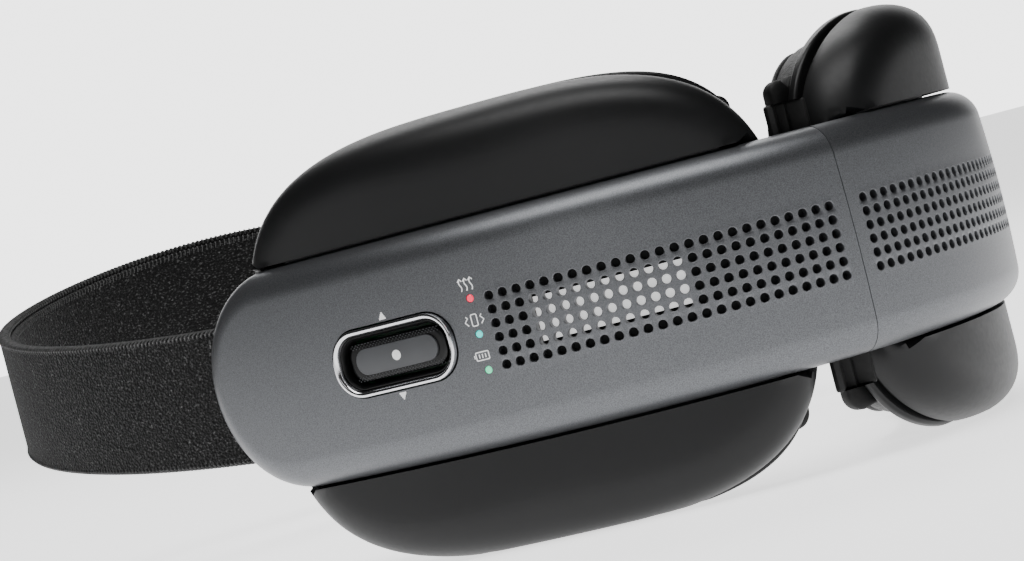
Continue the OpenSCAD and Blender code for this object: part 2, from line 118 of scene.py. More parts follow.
PATH = [(0.0, 0.0)]
for i in range(PATH_STEPS):
    a = turn(i + 0.5)
    PATH.append((PATH[-1][0] + math.cos(a), PATH[-1][1] + math.sin(a)))


def place(s, z, d, side=1):
    """Point at distance s along the skin, height z and depth d; side is 1 right, -1 left."""
    i = min(int(max(s, 0)), PATH_STEPS - 2)
    f = max(s, 0) - i
    x = PATH[i][0] + (PATH[i + 1][0] - PATH[i][0]) * f
    y = PATH[i][1] + (PATH[i + 1][1] - PATH[i][1]) * f
    t = min(max(s / LEAN_IN, 0.0), 1.0)
    lean = turn(s) * t * t * (3 - 2 * t)
    y += d * math.cos(lean)
    x = max(x - d * math.sin(lean), SEAM_GAP / 2 + max(0.0, y - HINGE_DEPTH) * math.tan(RELIEF))
    return Vector((side * x, y, z))


def local(s, z, side=1):
    """Frame at a place on the skin: x along the skin, y into the mask, z up."""
    a = turn(s)
    m = Matrix.Translation(place(s, z, 0)) @ Matrix.Rotation(a, 4, "Z")
    return Matrix.Diagonal((side, 1, 1, 1)) @ m


def smooth(a, b, x):
    """0 up to a, 1 from b on, and an S curve between them."""
    t = min(max((x - a) / (b - a), 0.0), 1.0)
    return t * t * (3 - 2 * t)


# ---------------------------------------------------------------- mesh helpers
def make(name, points, faces, material, body, sharp=35):
    """A smooth-shaded mesh from points in the working frame, riding on a body."""
    mesh = bpy.data.meshes.new(name)
    mesh.from_pydata([Vector(p) * MM + SEAM for p in points], [], faces)
    mesh.validate()
    bm = bmesh.new()
    bm.from_mesh(mesh)
    bmesh.ops.remove_doubles(bm, verts=bm.verts, dist=1e-7)
    bmesh.ops.recalc_face_normals(bm, faces=bm.faces)
    bm.to_mesh(mesh)
    bm.free()
    sharpen(mesh, sharp)
    mesh.materials.append(material)
    obj = bpy.data.objects.new(name, mesh)
    bpy.context.scene.collection.objects.link(obj)
    if body:
        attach(obj, body)
    return obj


def sharpen(mesh, angle):
    """Smooth shading, with the edges that turn by more than the angle kept sharp."""
    bm = bmesh.new()
    bm.from_mesh(mesh)
    for e in bm.edges:
        e.smooth = len(e.link_faces) == 2 and e.calc_face_angle(0) < math.radians(angle)
    for f in bm.faces:
        f.smooth = True
    bm.to_mesh(mesh)
    bm.free()


def ring_faces(n, m, closed=True):
    """Quads between n sections of m points each; closed joins the last to the first."""
    out = []
    for i in range(n if closed else n - 1):
        for j in range(m):
            k = (j + 1) % m
            out.append((i * m + j, i * m + k, (i + 1) % n * m + k, (i + 1) % n * m + j))
    return out


def loft(name, sections, material, body, closed=False, **more):
    """A mesh through closed sections: capped at its ends, or closed into a ring."""
    n, m = len(sections), len(sections[0])
    faces = ring_faces(n, m, closed)
    if not closed:
        faces.append(tuple(range(m)))
        faces.append(tuple((n - 1) * m + j for j in range(m)))
    return make(name, [p for s in sections for p in s], faces, material, body, **more)


def apply_modifiers(obj):
    """Puts the mesh that the modifiers make in the object's place."""
    deps = bpy.context.evaluated_depsgraph_get()
    mesh = bpy.data.meshes.new_from_object(obj.evaluated_get(deps))
    obj.modifiers.clear()
    obj.data = mesh


def tube(line, radius, count, aside, closed=False):
    """Round sections along a line of points, turned by the direction that `aside` gives."""
    last = len(line) - 1
    sections = []
    for k, p in enumerate(line):
        before = line[k - 1] if closed else line[max(k - 1, 0)]
        after = line[(k + 1) % len(line)] if closed else line[min(k + 1, last)]
        ahead = (after - before).normalized()
        u = ahead.cross(aside)
        u = u.normalized() if u.length > 1e-3 else Vector((1, 0, 0))
        v = ahead.cross(u)
        sections.append([p + (u * math.cos(b) + v * math.sin(b)) * radius
                         for b in (2 * math.pi * j / count for j in range(count))])
    return sections


def rounded(w, h, r, count=10):
    """Outline of a rounded rectangle, counter-clockwise from its right side."""
    out = []
    for cx, cz, start in ((1, 1, 0), (-1, 1, 90), (-1, -1, 180), (1, -1, 270)):
        for i in range(count + 1):
            a = math.radians(start + 90 * i / count)
            out.append((cx * (w / 2 - r) + r * math.cos(a), cz * (h / 2 - r) + r * math.sin(a)))
    return out


# ---------------------------------------------------------------- materials
class Shader:
    """A Principled material with short calls for its nodes."""

    def __init__(self, name, color, rough, metallic=0.0, **values):
        self.mat = bpy.data.materials.new(name)
        self.mat.use_nodes = True
        self.tree = self.mat.node_tree
        self.bsdf = self.tree.nodes["Principled BSDF"]
        self.bsdf.inputs["Base Color"].default_value = (*color, 1)
        self.bsdf.inputs["Roughness"].default_value = rough
        self.bsdf.inputs["Metallic"].default_value = metallic
        for key, value in values.items():
            self.bsdf.inputs[key.replace("_", " ")].default_value = value
        self.coord = self.tree.nodes.new("ShaderNodeTexCoord").outputs["Object"]
        self.last_bump = None

    def link(self, a, b):
        self.tree.links.new(a, b)

    def noise(self, scale, detail=3, stretch=None):
        node = self.tree.nodes.new("ShaderNodeTexNoise")
        node.inputs["Scale"].default_value = scale
        node.inputs["Detail"].default_value = detail
        self.link(self.stretched(stretch), node.inputs["Vector"])
        return node.outputs["Fac"]

    def cells(self, scale, stretch=None, feature="F1"):
        node = self.tree.nodes.new("ShaderNodeTexVoronoi")
        node.feature = feature
        node.inputs["Scale"].default_value = scale
        self.link(self.stretched(stretch), node.inputs["Vector"])
        return node.outputs["Distance"]

    def stretched(self, stretch):
        if stretch is None:
            return self.coord
        node = self.tree.nodes.new("ShaderNodeMapping")
        node.inputs["Scale"].default_value = stretch
        self.link(self.coord, node.inputs["Vector"])
        return node.outputs["Vector"]

    def ramp(self, fac, stops):
        node = self.tree.nodes.new("ShaderNodeValToRGB")
        while len(node.color_ramp.elements) < len(stops):
            node.color_ramp.elements.new(0.5)
        for e, (pos, color) in zip(node.color_ramp.elements, stops):
            e.position = pos
            e.color = (*color, 1)
        self.link(fac, node.inputs["Fac"])
        return node.outputs["Color"]

    def color_from(self, fac, low, high, a=0.3, b=0.7):
        self.link(self.ramp(fac, [(a, low), (b, high)]), self.bsdf.inputs["Base Color"])

    def rough_from(self, fac, low, high):
        node = self.tree.nodes.new("ShaderNodeMapRange")
        node.inputs["To Min"].default_value = low
        node.inputs["To Max"].default_value = high
        self.link(fac, node.inputs["Value"])
        self.link(node.outputs["Result"], self.bsdf.inputs["Roughness"])

    def bump(self, fac, strength, distance):
        node = self.tree.nodes.new("ShaderNodeBump")
        node.inputs["Strength"].default_value = strength
        node.inputs["Distance"].default_value = distance * MM
        self.link(fac, node.inputs["Height"])
        if self.last_bump:
            self.link(self.last_bump, node.inputs["Normal"])
        self.last_bump = node.outputs["Normal"]
        self.link(self.last_bump, self.bsdf.inputs["Normal"])


def gray(v, tint=0.0):
    return (v * (1 - tint), v, v * (1 + 2 * tint))


def metallic_paint():
    m = Shader("gunmetal_paint", gray(0.1), 0.36, 0.8, Coat_Weight=0.08, Coat_Roughness=0.25)
    m.color_from(m.noise(5200, 2), gray(0.09, 0.03), gray(0.155, 0.03), 0.32, 0.68)
    m.rough_from(m.noise(2600, 2), 0.33, 0.45)
    m.bump(m.noise(4200, 1), 0.10, 0.05)
    m.bump(m.noise(420, 2), 0.03, 0.15)
    return m.mat


def satin_plastic(name, value, rough=0.42, grain=0.12, shine=0.5):
    m = Shader(name, gray(value), rough, Specular_IOR_Level=shine)
    m.color_from(m.noise(60, 3), gray(value * 0.9, 0.03), gray(value * 1.12, 0.03))
    m.rough_from(m.noise(900, 3), rough - 0.05, rough + 0.07)
    m.bump(m.noise(3500, 2), grain, 0.04)
    return m.mat


def soft_rubber():
    m = Shader("soft_rubber", gray(0.004), 0.6, Specular_IOR_Level=0.3)
    m.color_from(m.noise(240, 3), gray(0.003), gray(0.006))
    m.rough_from(m.noise(700, 3), 0.5, 0.7)
    m.bump(m.noise(2600, 3), 0.2, 0.06)
    return m.mat


def leather():
    m = Shader("cushion_leather", gray(0.01), 0.5, Sheen_Weight=0.08, Sheen_Roughness=0.4)
    m.color_from(m.noise(160, 4), gray(0.007), gray(0.014))
    cells = m.cells(950, feature="DISTANCE_TO_EDGE")
    m.rough_from(cells, 0.62, 0.44)
    m.bump(m.ramp(cells, [(0.0, (0, 0, 0)), (0.12, (1, 1, 1))]), 0.5, 0.08)
    m.bump(m.noise(260, 3), 0.15, 0.3)
    return m.mat


def woven_with_painted_glints():
    m = Shader("strap_weave_painted_glints", gray(0.01), 0.9, Sheen_Weight=0.04, Sheen_Roughness=0.4,
               Specular_IOR_Level=0.2)
    fine = m.noise(1500, 4, (1, 1, 1.7))
    loops = m.cells(1300, (1, 1, 1.5))
    # the ramp keeps the weave near black and paints a few light specks in as glints on the fibres: painted
    # highlight
    m.link(m.ramp(fine, [(0.42, gray(0.0015)), (0.56, gray(0.007)), (0.66, gray(0.05)), (0.78, gray(0.16))]),
           m.bsdf.inputs["Base Color"])
    m.rough_from(loops, 0.8, 0.95)
    m.bump(loops, 0.9, 0.4)
    m.bump(fine, 0.5, 0.3)
    return m.mat


def thread():
    m = Shader("edge_thread", gray(0.03), 0.6, Sheen_Weight=0.1)
    m.color_from(m.noise(1500, 2), gray(0.012), gray(0.07))
    m.bump(m.noise(5000, 2), 0.4, 0.05)
    return m.mat


def metal(name, color, rough, grain=0.05):
    m = Shader(name, color, rough, 1.0)
    m.color_from(m.noise(300, 3), tuple(c * 0.92 for c in color), color)
    m.rough_from(m.noise(500, 3), rough * 0.85, rough * 1.2)
    m.bump(m.noise(2500, 2), grain, 0.02)
    return m.mat


def glow(name, color, strength, value=0.8):
    m = Shader(name, tuple(c * value for c in color), 0.25)
    m.bsdf.inputs["Emission Color"].default_value = (*color, 1)
    m.bsdf.inputs["Emission Strength"].default_value = strength
    m.color_from(m.noise(2000, 2), tuple(c * value * 0.9 for c in color), tuple(c * value for c in color))
    return m.mat


def printed_white_painted_glow():
    m = Shader("printed_white_painted_glow", (0.8, 0.8, 0.8), 0.5)
    m.color_from(m.noise(3000, 2), (0.74, 0.74, 0.74), (0.84, 0.84, 0.84))
    # painted light: the white print is made to glow faintly, though print is no lamp
    m.bsdf.inputs["Emission Color"].default_value = (1, 1, 1, 1)
    m.bsdf.inputs["Emission Strength"].default_value = 0.15
    return m.mat


def tinted(name, color, rough):
    m = Shader(name, color, rough)
    m.color_from(m.noise(400, 3), tuple(c * 0.85 for c in color), tuple(c * 1.1 for c in color))
    m.rough_from(m.noise(800, 2), rough - 0.05, rough + 0.08)
    m.bump(m.noise(1500, 2), 0.1, 0.05)
    return m.mat


MAT = {
    "cover_metal": metallic_paint(),
    "pod_plastic": satin_plastic("pod_plastic", 0.005, 0.42, 0.08, 0.28),
    "frame_plastic": satin_plastic("frame_plastic", 0.004, 0.38, 0.08, 0.3),
    "inner_plastic": satin_plastic("inner_plastic", 0.05, 0.5),
    "soft_rubber": soft_rubber(),
    "cushion_leather": leather(),
    "mesh_black": satin_plastic("mesh_black", 0.008, 0.8),
    "heater_film": tinted("heater_film", (0.3, 0.12, 0.04), 0.35),
    "steel": metal("steel", (0.6, 0.6, 0.61), 0.3),
    "brass_weight": metal("brass_weight", (0.62, 0.5, 0.28), 0.35),
    "strap_elastic": woven_with_painted_glints(),
    "chrome_trim": metal("chrome_trim", (0.72, 0.72, 0.74), 0.14, 0.01),
    "button_black": satin_plastic("button_black", 0.003, 0.3, 0.03, 0.3),
    "button_grey": satin_plastic("button_grey", 0.07, 0.4, 0.06, 0.3),
    "board_green": tinted("board_green", (0.02, 0.13, 0.05), 0.3),
    "light_guide": glow("light_guide", (1.0, 1.0, 1.0), 0.8),
    "battery_wrap": tinted("battery_wrap", (0.08, 0.17, 0.38), 0.35),
}
THREAD = thread()
# white print material, with a faint painted glow on top of its own colour
PRINT_WITH_PAINTED_GLOW = printed_white_painted_glow()

# every CAD node starts with its slot's material; the pieces below replace those that show
for sub in frame["record"]["subparts"]:
    node = frame["nodes"][sub["node"]]
    for slot in node.material_slots:
        slot.material = MAT[sub["material_slot"]]

SIDES = (("left", -1), ("right", 1))

# ---------------------------------------------------------------- camera, lights, floor
CAMERA_ANGLES = (-29.1, 0.9, 14.7)     # turn, tilt and roll in degrees
CAMERA_AWAY = 625
CAMERA_ASIDE = -60.4
CAMERA_UP = -7.9
LENS = 125.3
FLOOR_HALF = 9                         # metres
FLOOR_GLOW = 1.5
ROOM_GLOW = 0.03
WALL_GLOW = 3.4
WALL_TOWARDS = (0.487, 0.874, 0)
WALL_SPAN = (0.88, 0.97)               # cosine of the angle to the wall where it starts and is full
TOP_POWER = 8
SIDE_POWER = 1.0
BACK_POWER = 4


def camera():
    """Camera well out from the seam, off to the left half's side and rolled."""
    az, el, roll = (math.radians(a) for a in CAMERA_ANGLES)
    right = Vector((math.cos(az), math.sin(az), 0))
    ahead = Vector((-math.sin(az), math.cos(az), 0))
    forward = ahead * math.cos(el) - Vector((0, 0, math.sin(el)))
    up = ahead * math.sin(el) + Vector((0, 0, math.cos(el)))
    right2 = right * math.cos(roll) - up * math.sin(roll)
    up2 = right * math.sin(roll) + up * math.cos(roll)
    data = bpy.data.cameras.new("camera")
    data.sensor_width = 36
    data.lens = LENS
    cam = bpy.data.objects.new("camera", data)
    bpy.context.scene.collection.objects.link(cam)
    where = SEAM + (right2 * CAMERA_ASIDE - forward * CAMERA_AWAY + up2 * CAMERA_UP) * MM
    turn_m = Matrix((right2, up2, -forward)).transposed().to_4x4()
    cam.matrix_world = Matrix.Translation(where) @ turn_m
    bpy.context.scene.camera = cam


def area_light(name, where, target, size, power, size_y):
    data = bpy.data.lights.new(name, "AREA")
    data.energy = power
    data.shape = "RECTANGLE"
    data.size = size
    data.size_y = size_y
    obj = bpy.data.objects.new(name, data)
    bpy.context.scene.collection.objects.link(obj)
    obj.location = where
    obj.rotation_euler = (Vector(target) - Vector(where)).to_track_quat("-Z", "Y").to_euler()


def studio():
    """A softly glowing white floor, a dim room and a bright wall of light behind the mask."""
    m = Shader("floor_white", (0.9, 0.9, 0.9), 0.7, Specular_IOR_Level=0.2)
    m.color_from(m.noise(3, 2), (0.88, 0.88, 0.89), (0.91, 0.91, 0.92))
    m.bsdf.inputs["Emission Color"].default_value = (1, 1, 1, 1)
    m.bsdf.inputs["Emission Strength"].default_value = FLOOR_GLOW
    mesh = bpy.data.meshes.new("floor")
    far = FLOOR_HALF
    mesh.from_pydata([(-far, -far, 0), (far, -far, 0), (far, far, 0), (-far, far, 0)], [], [(0, 1, 2, 3)])
    mesh.materials.append(m.mat)
    floor = bpy.data.objects.new("floor", mesh)
    bpy.context.scene.collection.objects.link(floor)
    world = bpy.data.worlds.new("studio")
    world.use_nodes = True
    tree = world.node_tree
    coord = tree.nodes.new("ShaderNodeTexCoord")
    dot = tree.nodes.new("ShaderNodeVectorMath")
    dot.operation = "DOT_PRODUCT"
    dot.inputs[1].default_value = WALL_TOWARDS
    tree.links.new(coord.outputs["Generated"], dot.inputs[0])
    tree.nodes["Background"].inputs["Color"].default_value = (1, 1, 1, 1)
    span = tree.nodes.new("ShaderNodeMapRange")
    span.interpolation_type = "SMOOTHSTEP"
    for key, value in (("From Min", WALL_SPAN[0]), ("From Max", WALL_SPAN[1]),
                       ("To Min", ROOM_GLOW), ("To Max", WALL_GLOW)):
        span.inputs[key].default_value = value
    tree.links.new(dot.outputs["Value"], span.inputs["Value"])
    tree.links.new(span.outputs["Result"], tree.nodes["Background"].inputs["Strength"])
    bpy.context.scene.world = world
    area_light("top_box", (-0.15, -0.25, 0.95), (0, -0.02, 0.03), 0.9, TOP_POWER, 0.5)
    area_light("left_panel", (-1.0, -0.9, 0.55), (0, -0.08, 0.04), 0.5, SIDE_POWER, 0.7)
    area_light("back_box", (0.3, 0.6, 0.8), (0, 0, 0.04), 0.6, BACK_POWER, 0.4)


camera()
studio()

# ---------------------------------------------------------------- front covers
PITCH_S = 2.635
PITCH_Z = 2.5
COLUMNS = 25
ROWS = 3              # rows of holes above the middle line; as many below
FIRST_COLUMN = 3.75
HOLE_R = 0.83
CELL = 4              # grid steps across one hole's cell
GRILLE_FIRST = 4      # station where the grille's cells start
END_STEPS = 26        # stations between the grille and the round end
ROUND_STEPS = 48      # stations round the end
THROUGH = (-3, 5)     # a cut through a wall starts 3 outside it and ends 5 inside it
LAMP_HOLE_R = 0.74
BUTTON_GAP = 0.5
BUTTON_R = 5.6
PORT_HALF_W = 4.9
PORT_HALF_T = 1.9


def cover_profile(t):
    """Rings of a cover's section, t inside its skin, from its middle line outwards: (radius, depth)."""
    top = BAND_H / 2
    flat = top - EDGE_R
    radii = [PITCH_Z * k / CELL for k in range(ROWS * CELL + 1)]
    radii += [radii[-1] + (flat - radii[-1]) * k / 6 for k in range(1, 6)]
    out = [(r, t + CROWN * (r / top) ** 2) for r in radii]
    arc_d = CROWN * (flat / top) ** 2 + EDGE_R
    for k in range(13):
        a = math.radians(90 * k / 12)
        out.append((flat + (EDGE_R - t) * math.sin(a), arc_d - (EDGE_R - t) * math.cos(a)))
    return out + [(top - t, arc_d + (BAND_DEPTH - arc_d) * k / 3) for k in (1, 2, 3)]


def cover_stations():
    """Distances along a straight side: the grille's cells have four steps each."""
    start = FIRST_COLUMN - PITCH_S / 2
    s = [0, 0.5, 1.0, 1.7]
    s += [start + PITCH_S * k / CELL for k in range(COLUMNS * CELL + 1)]
    return s + [s[-1] + (END_S - s[-1]) * k / END_STEPS for k in range(1, END_STEPS + 1)]


def front_cover(name, side):
    """A cover with a wall thickness and a real chamfered hole in each cell of its grille."""
    stations = cover_stations()
    outer, inner = cover_profile(0), cover_profile(COVER_T)
    straight, around = len(stations) - 1, ROUND_STEPS
    last = 2 * straight + around
    k = len(outer) - 1
    points, index = [], {}

    def add(key, p):
        if key not in index:
            index[key] = len(points)
            points.append(p)
        return index[key]

    def vertex(o, r, i):
        rho, d = (outer, inner)[o][r]
        if r == 0:
            i = min(i, last - i, straight)
        if i <= straight:
            p = place(stations[i], rho, d, side)
        elif i >= straight + around:
            p = place(stations[last - i], -rho, d, side)
        else:
            t = math.radians(90 - 180 * (i - straight) / around)
            p = place(END_S + rho * math.cos(t), rho * math.sin(t), d, side)
        return add((o, r, i), p)

    cells = [(GRILLE_FIRST + c * CELL, r * CELL, up)
             for c in range(COLUMNS) for r in range(ROWS) for up in (1, -1)]

    def in_grille(i, r):
        if straight <= i < straight + around:
            return False
        j = i if i < straight else last - 1 - i
        return GRILLE_FIRST <= j < GRILLE_FIRST + COLUMNS * CELL and r < ROWS * CELL

    faces = []
    for o in (0, 1):
        for r in range(k):
            for i in range(last):
                if in_grille(i, r):
                    continue
                f = [vertex(o, r, i), vertex(o, r, i + 1), vertex(o, r + 1, i + 1), vertex(o, r + 1, i)]
                f = list(dict.fromkeys(f))
                faces.append(f if o == 0 else f[::-1])
    for i in range(last):
        faces.append([vertex(0, k, i), vertex(0, k, i + 1), vertex(1, k, i + 1), vertex(1, k, i)])
    for r in range(k):
        for i in (0, last):
            faces.append([vertex(0, r, i), vertex(0, r + 1, i), vertex(1, r + 1, i), vertex(1, r, i)])

    # each cell of the grille: a square ring of points joined to a round chamfered hole
    for j, r0, up in cells:
        edge = [(j + step, r0) for step in range(CELL)]
        edge += [(j + CELL, r0 + step) for step in range(CELL)]
        edge += [(j + CELL - step, r0 + CELL) for step in range(CELL)]
        edge += [(j, r0 + CELL - step) for step in range(CELL)]
        centre_s = (stations[j] + stations[j + CELL]) / 2
        centre_z = (outer[r0][0] + outer[r0 + CELL][0]) / 2
        loops = [[vertex(0, r, i if up > 0 else last - i) for i, r in edge]]
        crown = CROWN * (centre_z / (BAND_H / 2)) ** 2
        for radius, depth in ((HOLE_R + 0.14, 0.0), (HOLE_R + 0.03, 0.07), (HOLE_R, 0.2),
                              (HOLE_R, COVER_T)):
            loop = []
            for i, r in edge:
                a = math.atan2(outer[r][0] - centre_z, stations[i] - centre_s)
                s, z = centre_s + radius * math.cos(a), centre_z + radius * math.sin(a)
                loop.append(add((j, r0, up, radius, depth, i, r), place(s, up * z, crown + depth, side)))
            loops.append(loop)
        loops.append([vertex(1, r, i if up > 0 else last - i) for i, r in edge])
        for a, b in zip(loops, loops[1:]):
            for m in range(len(edge)):
                n = (m + 1) % len(edge)
                faces.append([a[m], a[n], b[n], b[m]])
    return make(name, points, faces, MAT["cover_metal"], None, sharp=40)


def cutter(parts):
    """One mesh of several closed prisms: each is (outline, matrix, depth from, depth to)."""
    points, faces = [], []
    for outline, m, d0, d1 in parts:
        n, base = len(outline), len(points)
        points += [m @ Vector((x, d, z)) for d in (d0, d1) for x, z in outline]
        faces += [tuple(base + j for j in range(n)), tuple(base + n + j for j in range(n))]
        faces += [(base + j, base + (j + 1) % n, base + n + (j + 1) % n, base + n + j) for j in range(n)]
    return make("cutter", points, faces, MAT["cover_metal"], None)


def cut(obj, parts):
    """Takes the prisms that cutter() describes out of a piece."""
    tool = cutter(parts)
    mod = obj.modifiers.new("cut", "BOOLEAN")
    mod.operation = "DIFFERENCE"
    mod.solver = "EXACT"
    mod.object = tool
    apply_modifiers(obj)
    bpy.data.objects.remove(tool)
    sharpen(obj.data, 30)


def box_outline(x0, x1, z0, z1):
    return [(x0, z0), (x1, z0), (x1, z1), (x0, z1)]


def disc_outline(radius, count=24):
    return [(radius * math.cos(2 * math.pi * i / count), radius * math.sin(2 * math.pi * i / count))
            for i in range(count)]


for word, side in SIDES:
    cover = front_cover("cover_" + word, side)
    half = STRAP_W / 2 + 1
    holes = [(box_outline(-9, 9, STRAP_Z0 - half, STRAP_Z0 + half), local(BAND_LEN - 1, 0, side), 4, 13)]
    if side < 0:
        button_outline = rounded(BUTTON_W + BUTTON_GAP, BUTTON_H + BUTTON_GAP, BUTTON_R)
        holes.append((button_outline, local(BUTTON_S, BUTTON_Z, side), *THROUGH))
        holes += [(disc_outline(LAMP_HOLE_R), local(LAMP_S, z, side), *THROUGH) for z in LAMP_Z]
    else:
        holes.append((box_outline(-PORT_HALF_W, PORT_HALF_W, *THROUGH), local(PORT_S, -BAND_H / 2, side),
                      PORT_D - PORT_HALF_T, PORT_D + PORT_HALF_T))
    cut(cover, holes)
    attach(cover, word + "_half")
    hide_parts("front_cover_" + word)


# ---------------------------------------------------------------- what shows behind the holes
def plates(name, spans, d0, d1, side, material, body, steps=14):
    """Thin plates under the skin, one for each (s0, s1, z0, z1), in one mesh."""
    points, faces = [], []
    for s0, s1, z0, z1 in spans:
        base = len(points)
        for i in range(steps + 1):
            t = s0 + (s1 - s0) * i / steps
            points += [place(t, z, d, side) for z, d in ((z0, d0), (z0, d1), (z1, d1), (z1, d0))]
        for i in range(steps):
            for j in range(4):
                k = (j + 1) % 4
                faces.append((base + 4 * i + j, base + 4 * i + k, base + 4 * i + 4 + k, base + 4 * i + 4 + j))
        faces += [tuple(base + j for j in range(4)), tuple(base + 4 * steps + j for j in range(4))]
    return make(name, points, faces, material, body)


def spans_around(whole, free):
    """Four spans that fill the whole span and leave a smaller one free."""
    s0, s1, z0, z1 = whole
    f0, f1, low, high = free
    return [(s0, f0, z0, z1), (f1, s1, z0, z1), (f0, f1, high, z1), (f0, f1, z0, low)]


SHEET_SPAN = (3.2, 69, -8.6, 8.6)
LIGHT_SPAN = (31, 60, -4, 4)
for word, side, spans in (("left", -1, spans_around(SHEET_SPAN, LIGHT_SPAN)), ("right", 1, [SHEET_SPAN])):
    sheet = plates("grille_backing_" + word, spans, 2.1, 2.5, side, MAT["mesh_black"], word + "_half")
    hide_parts("grille_mesh_" + word)
bar = plates("light_bar_piece", [LIGHT_SPAN], 2.7, 4.2, -1, MAT["light_guide"], "left_half")
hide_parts("light_bar")


# ---------------------------------------------------------------- button, lamps and signs
def frames(w, h, r, profile, matrix):
    """Rounded rectangles for loft(): profile is a list of (inset, depth)."""
    return [[matrix @ Vector((x, d, z)) for x, z in rounded(w - 2 * q, h - 2 * q, max(r - q, 0.15))]
            for q, d in profile]


def blocks(spans, matrix):
    """Corners and faces of boxes given as ((x0, x1), (y0, y1), (z0, z1))."""
    points, faces = [], []
    for xs, ys, zs in spans:
        b = len(points)
        points += [matrix @ Vector((x, y, z)) for x in xs for y in ys for z in zs]
        faces += [tuple(b + i for i in f) for f in
                  ((0, 1, 3, 2), (4, 6, 7, 5), (0, 4, 5, 1), (2, 3, 7, 6), (0, 2, 6, 4), (1, 5, 7, 3))]
    return points, faces


def studs(name, places, radius, depth, rise, matrix, material, body, count=8):
    """Low domes standing on a plane at the given depth."""
    points, faces = [], []
    for x, z in places:
        b = len(points)
        for q, lift in ((1.0, 0), (0.96, 0.45), (0.7, 0.85)):
            for i in range(count):
                a = 2 * math.pi * i / count
                points.append(matrix @ Vector((x + q * radius * math.cos(a), depth - lift * rise,
                                               z + q * radius * math.sin(a))))
        for ring in range(2):
            for i in range(count):
                k = (i + 1) % count
                faces.append((b + ring * count + i, b + ring * count + k,
                              b + (ring + 1) * count + k, b + (ring + 1) * count + i))
        faces += [tuple(b + i for i in range(count)), tuple(b + 2 * count + i for i in range(count))]
    return make(name, points, faces, material, body)


BUTTON = local(BUTTON_S, BUTTON_Z, -1)
ring_profile = [(0, 2.6), (0, -0.05), (0.1, -0.27), (0.3, -0.38), (0.55, -0.4), (0.8, -0.3), (1.0, -0.05),
                (1.15, 0.35), (1.3, 0.8), (1.3, 2.6)]
bezel = loft("button_ring", frames(BUTTON_W, BUTTON_H, 5.4, ring_profile, BUTTON), MAT["chrome_trim"],
             "left_half", closed=True)
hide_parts("button_bezel")
well_profile = [(1.34, 3.4), (1.34, 0.62), (1.5, 0.62), (1.72, 1.0), (1.95, 1.7), (1.95, 3.4)]
well = loft("button_well_piece", frames(BUTTON_W, BUTTON_H, 5.4, well_profile, BUTTON), MAT["button_black"],
            "left_half", closed=True)
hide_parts("button_well")
rocker_w, rocker_h = BUTTON_W - 5.2, BUTTON_H - 5.2
rocker_profile = [(0, 3.2), (0, ROCKER_D + 0.5), (0.1, ROCKER_D + 0.2), (0.35, ROCKER_D + 0.03),
                  (0.8, ROCKER_D)]
rocker = loft("rocker", frames(rocker_w, rocker_h, 2.8, rocker_profile, BUTTON), MAT["button_black"],
              "button_rocker")
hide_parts("rocker_body")
lug_spans = [(xs, (3.1, 5.0), (-1.5, 1.5)) for xs in ((-8.6, -7.0), (7.0, 8.6))]
lugs = make("rocker_lugs", *blocks(lug_spans, BUTTON), MAT["button_black"], "button_rocker")
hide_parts("rocker_body")
grip = [(-9.4 + 18.8 * i / 26 + (0.18 if j % 2 else -0.18), sign * (2.62 + 0.34 * j))
        for i in range(27) for j in range(3) for sign in (1, -1)]
dots = studs("rocker_grip", grip, 0.12, ROCKER_D, 0.12, BUTTON, MAT["button_grey"], "button_rocker")
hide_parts("rocker_body")
inlay_profile = [(0, ROCKER_D), (0, ROCKER_D - 0.38), (0.06, ROCKER_D - 0.46), (0.2, ROCKER_D - 0.5)]
inlay = loft("rocker_inlay_piece", frames(18, 4.8, 2.35, inlay_profile, BUTTON), MAT["button_grey"],
             "button_rocker")
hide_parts("rocker_inlay")
mark = studs("rocker_dot", [(0, 0)], 0.95, ROCKER_D - 0.49, 0.05, BUTTON, PRINT_WITH_PAINTED_GLOW, "button_rocker", count=32)
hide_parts("rocker_inlay")

for z, word, color in zip(LAMP_Z, ("heat", "vibration", "charge"),
                          ((1.0, 0.03, 0.09), (0.05, 0.75, 0.7), (0.1, 0.8, 0.42))):
    lit = glow("lamp_" + word, color, 0.9)
    lamp = studs("lamp_" + word, [(0, 0)], 0.7, 0.35, 0.4, local(LAMP_S, z, -1), lit, "left_half", count=24)
    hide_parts("led_guides")


def skin_d(z):
    """Depth of the crowned skin at height z."""
    return CROWN * (z / (BAND_H / 2)) ** 2


def printed(name, lines, width=0.21):
    """Thin raised strokes on the left cover, along lines of (s, z) points."""
    points, faces = [], []
    for line in lines:
        n, b = len(line), len(points)
        for k, (s, z) in enumerate(line):
            before, after = line[max(k - 1, 0)], line[min(k + 1, n - 1)]
            ds, dz = after[0] - before[0], after[1] - before[1]
            long = math.hypot(ds, dz)
            for sign, lift in ((1, -0.03), (-1, -0.03), (-1, 0.04), (1, 0.04)):
                ps, pz = s - sign * dz / long * width / 2, z + sign * ds / long * width / 2
                points.append(place(ps, pz, skin_d(pz) + lift, -1))
        for k in range(n - 1):
            for j in range(4):
                m = (j + 1) % 4
                faces.append((b + 4 * k + j, b + 4 * k + m, b + 4 * k + 4 + m, b + 4 * k + 4 + j))
        faces += [tuple(b + j for j in range(4)), tuple(b + 4 * (n - 1) + j for j in range(4))]
    obj = make(name, points, faces, PRINT_WITH_PAINTED_GLOW, "left_half")
    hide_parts("front_cover_left")


def shifted(line, s, z):
    """A sign's line moved to its place; in the sign, x runs to the viewer's right."""
    return [(s - x, z + y) for x, y in line]


def wave(x, height, swing):
    """One S-shaped upright line of a sign."""
    return [(x + swing * math.sin(2 * math.pi * i / 12), -height / 2 + height * i / 12) for i in range(13)]


def closed_line(outline):
    """A line that goes once round an outline and a little past its start."""
    return outline + [outline[0], outline[1]]


